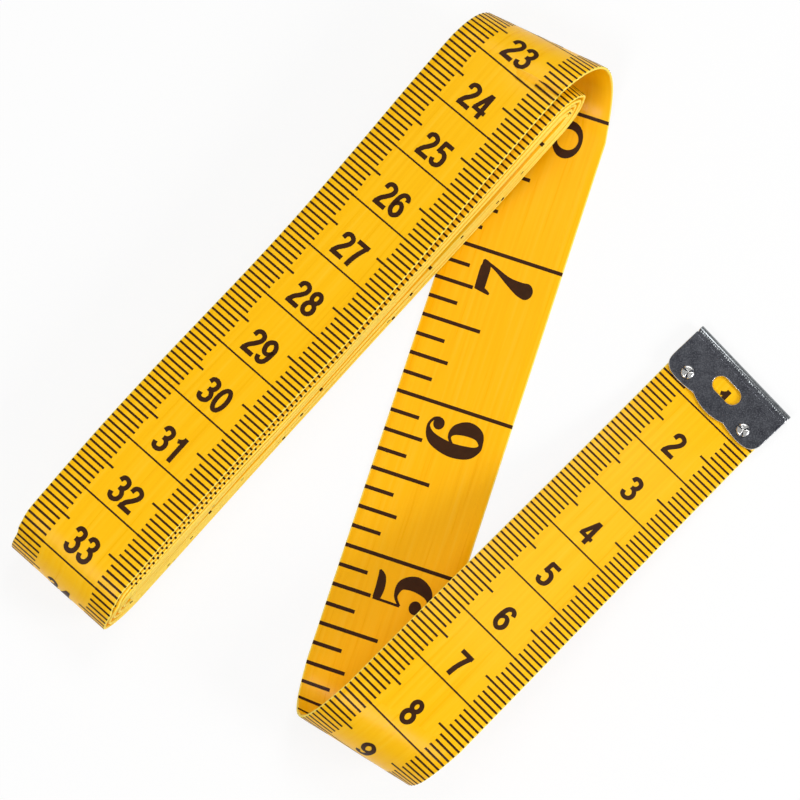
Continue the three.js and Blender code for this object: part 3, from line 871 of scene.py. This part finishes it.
# Inch scale: x along the tape and y towards the edge with the marks
def inchShapes(low, high):
    step = inch / 8
    eighth = np.arange(max(math.ceil(low / step), 1), math.floor(high / step) + 1)
    lengths = [tape["width"] - inchPrint["margin"], inchPrint["halfInch"], inchPrint["quarter"]]
    reach = np.select([eighth % 8 == 0, eighth % 4 == 0, eighth % 2 == 0], lengths, inchPrint["eighth"])
    limit = edge - inchPrint["margin"]
    place, halfTick = eighth * step, inchPrint["tick"] / 2
    points, quads = bars(-limit, reach - edge, -place - halfTick, -place + halfTick, inchPrint["cuts"])
    shapes = [(np.stack([-points[:, 1], -points[:, 0], points[:, 2]], -1), quads)]
    for value in (eighth[eighth % 8 == 0] // 8).tolist():
        points, quads, total = numberShape("fat", value, inchPrint["gap"])
        shift = np.array([inch * value - inchPrint["before"] - total, -inchPrint["base"], 0.0])
        shapes.append((points + shift, quads))
    points, quads = joined(shapes)
    return np.stack([points[:, 0], -points[:, 1], points[:, 2]], -1), quads


printParts = {}


# Lays flat print on a route, just off the face and turned to look out of it, and shares its
# faces out by a sorting function
def layPrint(shapes, route, offset, face, sort):
    flat, quads = shapes
    length, side, level = flat[:, 0] - offset, flat[:, 1], flat[:, 2]
    corners = flat[quads, :2]
    ways = corners[:, 2:] - corners[:, :2]
    area = ways[:, 0, 0] * ways[:, 1, 1] - ways[:, 0, 1] * ways[:, 1, 0]
    quads = np.where((area * face < 0)[:, None], quads[:, ::-1], quads)
    keys = sort(length[quads].mean(1), side[quads].mean(1))
    lift = face * (half + inkHeight + level)
    points = route(length, side) + times(lift, faceOut(route, length, side))
    for key in np.unique(keys):
        if key:
            used, index = np.unique(quads[keys == key], return_inverse=True)
            printParts.setdefault(str(key), []).append((points[used], index.reshape(-1, 4)))


# The third of a fold's half turn that an angle lies in, and nothing outside the half turn
def foldPart(fold, angle):
    count = foldArcs["count"]
    third = np.clip(np.floor(angle / math.pi * count).astype(int), 0, count - 1) + 1
    return np.where((angle > 0) & (angle < math.pi), np.char.add(fold, third.astype(str)), "")


def sortFree(length, side):
    angle = freeAngle(length, side)
    return np.where(angle >= math.pi, "freeLeg", foldPart("lowerFold", angle))


def sortMiddle(run, side):
    lower, upper = middleAngles(run, side)
    low = foldPart("lowerFold", lower)
    bent = np.where(low == "", foldPart("upperBend", upper), low)
    return np.where((lower <= 0) & (upper <= 0), "middleLeg", bent)


def sortHank(length, side):
    angle = hankAngle(length, side)
    inside = np.where(length < windingLength - hank["unprinted"], "hank", "")
    return np.where(angle >= math.pi, inside, foldPart("upperBend", angle))


# The hidden face of a leg has print on the leg alone, not round its folds
def onlyOn(sort, leg):
    return lambda length, side: np.where(sort(length, side) == leg, leg, "")


tuck = {"share": 0.035, "start": 50.0, "fade": 30.0}


# Deep in the hank the marks stop short of the slit edges: from the fourth layer on, but for
# the far part of the fifth
def tuckedRoute(length, side):
    thirdEnd, fifthStart, fifthEnd = stretchStarts[[5, 8, 9]]
    fifth = 1 - smooth((length - fifthStart - tuck["start"]) / tuck["fade"])
    amount = np.where(length > fifthEnd, 1, np.where(length > thirdEnd, fifth, 0))
    return hankRoute(length, side * (1 - tuck["share"] * amount))


# Where each leg's scale starts: the reading at the start of its route
readings = {"free": 0.25, "middleInches": 152.4, "hank": 228.92}
lowerTape = float(freeReading(freeLine(np.array(0.0))) + math.pi * turnPace(lowerTurn, np.array(0.0)))
underMiddle = readings["free"] + lowerTape - lowRun

# Each stretch of print: its shapes from one length of the scale to another in millimetres, its
# route and reading, its face, 1 for centimetres and -1 for inches, and the function that
# shares it out
stretches = [
    (centimetreShapes(1.2, 112), freeRoute, readings["free"], 1, sortFree),
    (inchShapes(2, 90), freeRoute, readings["free"], -1, onlyOn(sortFree, "freeLeg")),
    (inchShapes(70, 240), middleRoute, readings["middleInches"], -1, sortMiddle),
    (centimetreShapes(96, 212), middleRoute, underMiddle, 1, onlyOn(sortMiddle, "middleLeg")),
    (centimetreShapes(196, tape["length"]), tuckedRoute, readings["hank"], 1, sortHank),
    (inchShapes(215, tape["length"]), hankRoute, readings["hank"], -1, onlyOn(sortHank, "hank"))]
for stretch in stretches:
    layPrint(*stretch)

prints = {}
for key, shapes in printParts.items():
    points, quads = joined(shapes)
    prints[key] = meshObject(f"{key}Print", points, quads.tolist(), [inkSkin])
for leg, body in {"middleLeg": "middle", "freeLeg": "free_end", "hank": "hank"}.items():
    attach(prints[leg], body)
for word, node, turn, line, sign, bodies in folds:
    for k in range(foldArcs["count"]):
        blendThird(prints[f"{word}{k + 1}"], turn, k)
print("scales printed")

# Clips: two plates of sheet metal and the fold that joins them, in a frame with x from the
# folded end along the tape, y across it and z up
clipHalf = half + clip["gap"] + clip["plate"]
clipCuts = {"curve": 18, "slot": 48, "hole": 32, "fold": 25, "crown": 9, "dimple": 7, "rivet": 72}
foldRim = ((0.0, 0.08), (0.04, 0.02), (0.1, 0.0))
bead = {"inset": 0.35, "sink": 0.03, "drop": 1.2, "tooth": 0.4, "mean": 0.5, "swing": 0.35, "wear": 0.3,
        "wearWaves": (5.3, 2.9)}
# The first crease takes the fold's lighter nickel, a painted highlight; the second is plain
pressed = {"crease": (0.2, 0.09, 2), "secondCrease": (0.1, 0.03, 0)}


def clipFrame(point, along):
    skew = math.radians(clip["skew"])
    across = np.cross(up, along)
    x = along * math.cos(skew) + across * math.sin(skew)
    y = np.cross(up, x)
    return np.column_stack([x, y, up]), point + y * clip["shift"]


def curvePart(start, control, end):
    t = np.linspace(0, 1, clipCuts["curve"])[1:, None]
    return (1 - t) ** 2 * np.array(start) + 2 * t * (1 - t) * np.array(control) + t ** 2 * np.array(end)


# The plate's outline: a dent in each side near the fold, then three shallow scallops
def plateOutline():
    side, lobe = clip["width"] / 2, clip["width"] / 6
    dent, deep = side - clip["dent"], clip["depth"] + clip["scallop"]
    cusp, turn = clip["depth"] - clip["scallop"], clip["depth"] - clip["corner"]
    back, middle = clipHalf - clip["plate"] / 2, clip["crease"] + clip["dentRun"]
    first = np.array([(back, -side), (middle - clip["dentHalf"], -side), (middle, -dent),
                      (middle + clip["dentHalf"], -side - clip["lip"]), (turn, -side)])
    corner = curvePart((turn, -side), (deep, -side), (cusp, -lobe))
    centre = curvePart((cusp, -lobe), (deep, 0), (cusp, lobe))
    return np.concatenate([first, corner, centre, (corner * [1, -1])[-2::-1], (first * [1, -1])[::-1]])


def circle(cuts):
    around = np.linspace(0, 2 * math.pi, cuts, endpoint=False)
    return np.column_stack([np.cos(around), np.sin(around)])


def slotOutline():
    end = (clip["slotLength"] - clip["slotWidth"]) / 2
    halves = np.repeat([end, -end], clipCuts["slot"] // 2)
    middle = np.column_stack([np.full(halves.size, clip["depth"] - clip["slotInset"]), halves])
    return middle + clip["slotWidth"] / 2 * circle(clipCuts["slot"])


def rivetOutline(side):
    middle = np.array([clip["depth"] - rivet["inset"], side * rivet["spacing"] / 2])
    return middle + (rivet["shank"] / 2 + rivet["gap"]) * circle(clipCuts["hole"])


# A plate with rounded rims: flat outlines, filled, thickened and bevelled. Its steep rim faces
# come back as a mask for the bright nickel, a painted highlight along the rims
def plateMesh(outlines, height):
    curve = bpy.data.curves.new("plateCurve", "CURVE")
    curve.dimensions = "2D"
    curve.fill_mode = "BOTH"
    curve.extrude = clip["plate"] / 2 - clip["bevel"]
    curve.bevel_depth = clip["bevel"]
    curve.bevel_resolution = clip["bevelCuts"]
    curve.offset = -clip["bevel"]
    for outline in outlines:
        spline = curve.splines.new("POLY")
        spline.points.add(len(outline) - 1)
        spline.points.foreach_set("co", np.column_stack([outline, np.zeros(len(outline)),
                                                         np.ones(len(outline))]).ravel())
        spline.use_cyclic_u = True
    holder = bpy.data.objects.new("plateCurve", curve)
    scene.collection.objects.link(holder)
    mesh = bpy.data.meshes.new_from_object(holder.evaluated_get(bpy.context.evaluated_depsgraph_get()))
    bpy.data.objects.remove(holder)
    mesh.transform(Matrix.Translation((0, 0, height)))
    points = np.empty(3 * len(mesh.vertices))
    mesh.vertices.foreach_get("co", points)
    normals = np.empty(3 * len(mesh.polygons))
    mesh.polygons.foreach_get("normal", normals)
    faces = [tuple(polygon.vertices) for polygon in mesh.polygons]
    return points.reshape(-1, 3), faces, np.abs(normals[2::3]) < clip["rimSlope"]


# A tube of metal, with its faces turned to look out
def tube(rings, skin):
    faces = [face[:1] + face[:0:-1] for face in tubeFaces(*rings.shape[:2])]
    return rings.reshape(-1, 3), faces, np.full(len(faces), skin)


# The fold: half a ring of sheet, swept across with its rims a little drawn in, all in the
# lighter nickel that paints the highlight on its curve
def foldMesh():
    around = np.linspace(math.pi / 2, 1.5 * math.pi, clipCuts["fold"])
    reach = clip["width"] / 2
    rims = [(step - reach, inset) for step, inset in foldRim]
    rims += [(reach - step, inset) for step, inset in foldRim[::-1]]
    rows = []
    for y, inset in rims:
        outer, inner = clipHalf - inset, clipHalf - clip["plate"] + inset
        x = clipHalf + np.concatenate([outer * np.cos(around), inner * np.cos(around[::-1])])
        z = np.concatenate([outer * np.sin(around), inner * np.sin(around[::-1])])
        rows.append(np.column_stack([x, np.full(x.size, y), z]))
    return tube(np.array(rows)[:, ::-1], 2)


# A pressed line across the plate: a low bead whose top rises and falls like worn saw teeth
def beadMesh(depth, wide, high, skin):
    reach = clip["width"] / 2 - bead["inset"]
    y = np.linspace(-reach, reach, int(2 * reach / bead["tooth"]) * 4 + 1)
    first, second = bead["wearWaves"]
    wear = bead["wear"] * np.sin(first * y) * np.sin(second * y + 1)
    saw = bead["mean"] + bead["swing"] * np.sin(2 * math.pi * y / bead["tooth"]) + wear
    top = clipHalf + high * (1 - bead["drop"] * saw)
    floor = np.full(y.shape, clipHalf - bead["sink"])
    ring = [(depth - wide, floor), (depth, top), (depth + wide, floor)]
    rows = np.stack([np.column_stack([np.full(y.shape, x), y, z]) for x, z in ring], 1)
    return tube(rows[:, ::-1], skin)


# A rivet's outline turned round its axis: a rounded head above and below, split in petals
# by narrow cuts that run out from a small dimple. The faces deep in the cuts take the plain,
# duller nickel as painted shade.
def rivetMesh(side):
    seat = clipHalf + rivet["gap"]
    crown = seat + rivet["headHeight"]
    t = np.linspace(0, math.pi / 2, clipCuts["crown"])
    inner = np.linspace(0, 1, clipCuts["dimple"])
    dimple, flat = rivet["dimple"] / 2, rivet["crown"] / 2
    bulge = (rivet["head"] - rivet["crown"]) / 2
    r = np.concatenate([dimple * inner, flat + bulge * np.sin(t), [rivet["shank"] / 2]])
    z = np.concatenate([crown - rivet["dimpleDepth"] * (1 - inner ** 2),
                        seat + rivet["headHeight"] * np.cos(t), [seat]])
    r, z = np.concatenate([r[1:], r[:0:-1]]), np.concatenate([z[1:], -z[:0:-1]])
    around = np.linspace(0, 2 * math.pi, clipCuts["rivet"], endpoint=False)
    rings = np.stack([np.outer(r, np.cos(around)), np.outer(r, np.sin(around)),
                      np.outer(z, np.ones(around.size))], -1)
    petals = np.cos(rivet["splits"] * (around - rivet["splitTurn"]))
    cut = np.clip(petals - rivet["splitEdge"], 0, None) / (1 - rivet["splitEdge"])
    onHead = np.clip((np.abs(z) - seat) / rivet["headHeight"], 0, 1) * smooth(r / dimple)
    rings[..., 2] -= rivet["splitDepth"] * np.outer(np.sign(z) * onHead, cut)
    points, faces, cutShade = tube(rings[::-1], 0)
    cutShade[:-2] = np.tile(cut > rivet["splitShade"], len(r) - 1)
    place = np.array([clip["depth"] - rivet["inset"], side * rivet["spacing"] / 2, 0])
    return points + place, faces, cutShade


def addMetal(name, parts, place, materials, node, body):
    basis, origin = place
    points = np.concatenate([part[0] for part in parts])
    starts = np.cumsum([0] + [len(part[0]) for part in parts])
    faces = [[v + int(start) for v in face] for part, start in zip(parts, starts) for face in part[1]]
    kinds = np.concatenate([part[2] for part in parts])
    piece = meshObject(name, points @ basis.T + origin, faces, materials, kinds)
    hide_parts(node)
    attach(piece, body)


# A clip's faces are plain, rim or fold: 0, 1 or 2 in its list of materials. The rims take the
# bright rivet nickel and the fold the lighter fold nickel, both painted highlights. Each pressed
# line has its half width, its height and its kind of face.
def addClip(end, place, body):
    holes = [rivetOutline(-1), rivetOutline(1)]
    level = clipHalf - clip["plate"] / 2
    parts = [plateMesh([plateOutline(), slotOutline()] + holes, level),
             plateMesh([plateOutline()] + holes, -level), foldMesh()]
    parts += [beadMesh(clip[line], *sizes) for line, sizes in pressed.items()]
    skins = [clipSkin, rivetAndRimHighlightSkin, foldHighlightSkin]
    addMetal(f"{end}ClipSheet", parts, place, skins, f"{end}_clip", body)
    for word, side in (("left", -1), ("right", 1)):
        addMetal(f"{end}Rivet{word.title()}", [rivetMesh(side)], place, [rivetAndRimHighlightSkin, clipSkin],
                 f"{end}_rivet_{word}", body)


zeroPlace = clipFrame(freeTip + up * freeLeg["tipHeight"], -freeAlong)
farMiddle = hankAt(np.array(farEndRun - endGap), np.array(-hank["coreShift"]), heights[-1])
farPlace = clipFrame(farMiddle, hankAlong)
addClip("zero", zeroPlace, "free_end")
addClip("far", farPlace, "hank")
print("clips finished")

# Table and light: a white sweep under three soft lamps, with even light all round
table = {"size": 3.0, "below": 0.05, "colour": "#F4F4F4", "roughness": 0.9, "glow": 0.85}
studio = {"worldStrength": 0.38, "lampSize": 0.2,
          "lamps": {"sideLamp": (1.31, (0.42, -0.16, 0.3)), "frontLamp": (1.16, (-0.22, -0.27, 0.52)),
                    "backLamp": (0.92, (0.15, 0.34, 0.5))}}


def makeTable():
    corners = np.array([[-1, -1, 0], [1, -1, 0], [1, 1, 0], [-1, 1, 0]]) * table["size"] * 500
    material, shader = startMaterial("whiteTablePaper")
    shader.inputs["Base Color"].default_value = linear(table["colour"])
    shader.inputs["Roughness"].default_value = table["roughness"]
    path = addNode(material, "ShaderNodeLightPath").outputs
    seen = addMath(material, "MAXIMUM", path["Is Camera Ray"], path["Is Glossy Ray"])
    seenToo = addMath(material, "MAXIMUM", seen, path["Is Transmission Ray"])
    share = addMath(material, "MULTIPLY", seenToo, table["glow"])
    glow = addNode(material, "ShaderNodeEmission", {}, {"Color": (1, 1, 1, 1), "Strength": 1.0})
    both = addNode(material, "ShaderNodeMixShader", {}, {
        "Fac": share, 1: shader.outputs["BSDF"], 2: glow.outputs["Emission"]})
    output = material.node_tree.nodes["Material Output"]
    material.node_tree.links.new(both.outputs["Shader"], output.inputs["Surface"])
    paper = meshObject("tablePaper", corners - table["below"] * up, [[0, 1, 2, 3]], [material])


def makeLight():
    for name, (watts, place) in studio["lamps"].items():
        lamp = bpy.data.lights.new(name, "AREA")
        lamp.shape = "SQUARE"
        lamp.size = studio["lampSize"]
        lamp.energy = watts
        holder = bpy.data.objects.new(name, lamp)
        aim = (-Vector(place)).to_track_quat("-Z", "Y").to_matrix().to_4x4()
        holder.matrix_world = Matrix.Translation(Vector(place)) @ aim
        scene.collection.objects.link(holder)
    world = bpy.data.worlds.new("evenRoom")
    world.use_nodes = True
    scene.world = world
    room = world.node_tree.nodes["Background"]
    room.inputs["Color"].default_value = (1, 1, 1, 1)
    room.inputs["Strength"].default_value = studio["worldStrength"]


makeTable()
makeLight()
print("table and light set")
